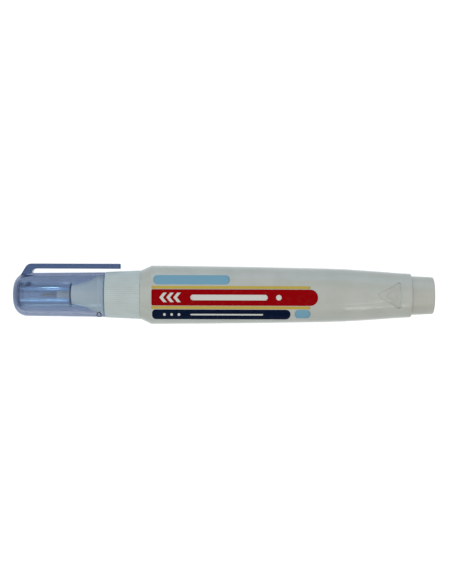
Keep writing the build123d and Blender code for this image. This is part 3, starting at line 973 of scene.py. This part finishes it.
class PEN_OT_print(bpy.types.Operator):
    """Lays the plain striped print on the barrel's upper face"""

    bl_idname = "correction_pen.print"
    bl_label = "Striped Print"

    def execute(self, context):
        inks = context.scene.pen_print
        low = inks.lift
        high = inks.lift + inks.film
        band = [print_mark(-28.8, 26.0, -3.5, 1.85, 0.5, 2.6)]
        pinstripes = [print_mark(-28.8, 23.5, y, y + 0.9, 0.3, 0.4) for y in (2.05, -4.6)]
        lower_band = [print_mark(-28.6, 17.0, -8.0, -4.8, 1.2, 1.5)]
        pill = [
            print_mark(-28.2, -3.0, 3.45, 6.5, 1.4, 1.4),
            print_mark(18.4, 23.6, -7.6, -4.8, 1.3, 1.3),
        ]
        chevrons = [print_mark(x, x + 1.2, -2.4, 0.75, point=1.3) for x in (-26.2, -23.9, -21.6)]
        dots = [print_mark(x, x + 0.9, -6.9, -6.0, 0.45, 0.45) for x in (-25.0, -22.6, -20.2)]
        strokes = [
            print_mark(-16.0, 9.5, -1.75, 0.1, 0.9, 0.9),
            print_mark(12.2, 14.05, -1.75, 0.1, 0.92, 0.92),
            print_mark(-16.0, 8.0, -6.7, -6.2, 0.25, 0.25),
        ]
        layers = (
            ("print_band", band, low, "red_ink", inks.red),
            ("print_pinstripes", pinstripes, low, "yellow_ink", inks.yellow),
            ("print_lower_band", lower_band, low, "navy_ink", inks.navy),
            ("print_pill", pill, low, "pale_ink", inks.pale),
            ("print_marks", chevrons + dots + strokes, high, "white_ink", inks.white),
        )
        for name, marks, lift, ink, rgb in layers:
            printed(name, marks, lift, inks.film, printing_ink(ink, rgb))
        return {"FINISHED"}


class PEN_OT_stage(bpy.types.Operator):
    """Sets the pale floor, the soft lamps and the camera above the pen"""

    bl_idname = "correction_pen.stage"
    bl_label = "Stage"

    def execute(self, context):
        scene = context.scene
        stage = scene.pen_stage
        scene.view_settings.view_transform = "Standard"
        self.floor(stage)
        self.sky(scene, stage)
        self.lamp("panel", (0.0, -0.33, 1.0), 0, (1.3, 1.35), stage.panel, (1.0, 0.985, 0.91))
        for name, x, degrees, size, radiance, rgb, rays in STREAKS:
            power = self.power(stage.streaks * radiance, size)
            streak = self.leaning(name, x, degrees, STREAK_AWAY, size, power, rgb)
            streak.visible_diffuse = False
            streak.visible_glossy = rays == OUTSIDE
            streak.visible_transmission = rays == INSIDE
        self.leaning("fill", 0.22, -70, 0.75, (0.62, 0.5), stage.fill, (0.34, 0.64, 1.0))
        self.leaning("front", -0.12, 66, 0.26, (0.2, 0.1), stage.front, PALE_BLUE)
        self.leaning("front_upper", -0.12, -60, 0.26, (0.2, 0.1), 0.6 * stage.front, PALE_BLUE)
        self.card()

        camera = bpy.data.cameras.new("camera")
        camera.lens = stage.lens
        camera.clip_start = 0.01
        holder = bpy.data.objects.new("camera", camera)
        holder.location = (stage.centre_x, stage.centre_y, AXIS_HEIGHT + stage.distance)
        holder.rotation_euler = (0, 0, stage.roll)
        scene.collection.objects.link(holder)
        scene.camera = holder
        return {"FINISHED"}

    def seen(self, tree):
        """One for rays from the camera, a mirror or glass, and nought for lighting."""
        path = add(tree, "LightPath").outputs
        bright = maths("MAXIMUM", path["Is Glossy Ray"], path["Is Transmission Ray"])
        return maths("MAXIMUM", path["Is Camera Ray"], bright)

    def floor(self, stage):
        """Large flat floor just under the pen that looks white and keeps the pen's shadow."""
        reach = 3.0
        drop = 0.05 * MM
        corners = reach * np.array([(-1, -1), (1, -1), (1, 1), (-1, 1)])
        floor = link("floor", stacked(*corners.T, -drop), [(0, 1, 2, 3)])
        finish = Finish("pale_floor")
        grain = spread(noise(finish.place, 300.0))
        finish.set(
            Base_Color=mixed(grain, shade(WHITE, 0.52), shade(WHITE, 0.5)), Roughness=0.9,
            Specular_IOR_Level=0.0, Emission_Color=shade(WHITE),
            Emission_Strength=maths("MULTIPLY", self.seen(finish.tree), stage.floor_glow))
        floor.data.materials.append(finish.material)

    def sky(self, scene, stage):
        """Even light all round, which looks white to the camera, mirrors and glass."""
        world = bpy.data.worlds.new("studio")
        world.use_nodes = True
        tree = world.node_tree
        extra = maths("MULTIPLY", self.seen(tree), 1 - stage.sky)
        feed(
            tree.nodes["Background"], Color=(0.96, 0.99, 1.0, 1),
            Strength=maths("ADD", extra, stage.sky))
        scene.world = world

    def power(self, radiance, size):
        """Power of a flat lamp: its radiance times pi times its area."""
        return radiance * math.pi * size[0] * size[1]

    def card(self):
        """Lamp on the floor that faces up and shows only as a gleam on the cap."""
        size = (0.07, 0.15)
        power = self.power(radiance=5.0, size=size)
        card = self.lamp("card", (-0.078, -0.1, 0.002), math.pi, size, power, WARM)
        card.visible_diffuse = False
        card.visible_transmission = False
        receivers = bpy.data.collections.new("card_receivers")
        receivers.objects.link(bpy.data.objects["clear_cap"])
        card.light_linking.receiver_collection = receivers

    def leaning(self, name, x, degrees, away, size, power, rgb):
        """Lamp beside the pen, at an angle from straight up towards -Y, that faces the pen."""
        lean = math.radians(degrees)
        place = (x, -away * math.sin(lean), away * math.cos(lean))
        return self.lamp(name, place, lean, size, power, rgb)

    def lamp(self, name, place, lean, size, power, rgb):
        """Soft rectangular lamp that isn't seen itself."""
        light = bpy.data.lights.new(name, "AREA")
        light.shape = "RECTANGLE"
        light.size, light.size_y = size
        light.energy = power
        light.color = rgb
        lamp = bpy.data.objects.new(name, light)
        lamp.location = place
        lamp.rotation_euler = (lean, 0, 0)
        lamp.visible_camera = False
        bpy.context.scene.collection.objects.link(lamp)
        return lamp


class PEN_PT_looks(bpy.types.Panel):
    """Settings of the pen's looks and the steps that build them"""

    bl_idname = "PEN_PT_looks"
    bl_label = "Correction Pen"
    bl_space_type = "VIEW_3D"
    bl_region_type = "UI"
    bl_category = "Pen"

    def draw(self, context):
        for operator, settings in STEPS:
            box = self.layout.box()
            box.operator(operator.bl_idname)
            for name in settings:
                group = getattr(context.scene, name)
                for entry in group.bl_rna.properties:
                    if entry.identifier not in ("rna_type", "name"):
                        box.prop(group, entry.identifier)


SETTINGS = {
    "pen_barrel": PenBarrelSettings,
    "pen_cap": PenCapSettings,
    "pen_clip": PenClipSettings,
    "pen_valve": PenValveSettings,
    "pen_print": PenPrintSettings,
    "pen_stage": PenStageSettings,
}
STEPS = (
    (PEN_OT_barrel, ("pen_barrel",)),
    (PEN_OT_valve, ("pen_valve",)),
    (PEN_OT_cap, ("pen_cap", "pen_clip")),
    (PEN_OT_print, ("pen_print",)),
    (PEN_OT_stage, ("pen_stage",)),
)


def register():
    """Adds the settings, the operators and the panel to Blender."""
    for name, group in SETTINGS.items():
        bpy.utils.register_class(group)
        setattr(bpy.types.Scene, name, PointerProperty(type=group))
    for operator, _ in STEPS:
        bpy.utils.register_class(operator)
    bpy.utils.register_class(PEN_PT_looks)


def unregister():
    """Takes the settings, the operators and the panel out of Blender."""
    bpy.utils.unregister_class(PEN_PT_looks)
    for operator, _ in reversed(STEPS):
        bpy.utils.unregister_class(operator)
    for name, group in reversed(list(SETTINGS.items())):
        delattr(bpy.types.Scene, name)
        bpy.utils.unregister_class(group)


def main():
    register()
    bpy.ops.correction_pen.barrel()
    bpy.ops.correction_pen.valve()
    bpy.ops.correction_pen.cap()
    bpy.ops.correction_pen.print()
    bpy.ops.correction_pen.stage()


if __name__ == "__main__":
    main()
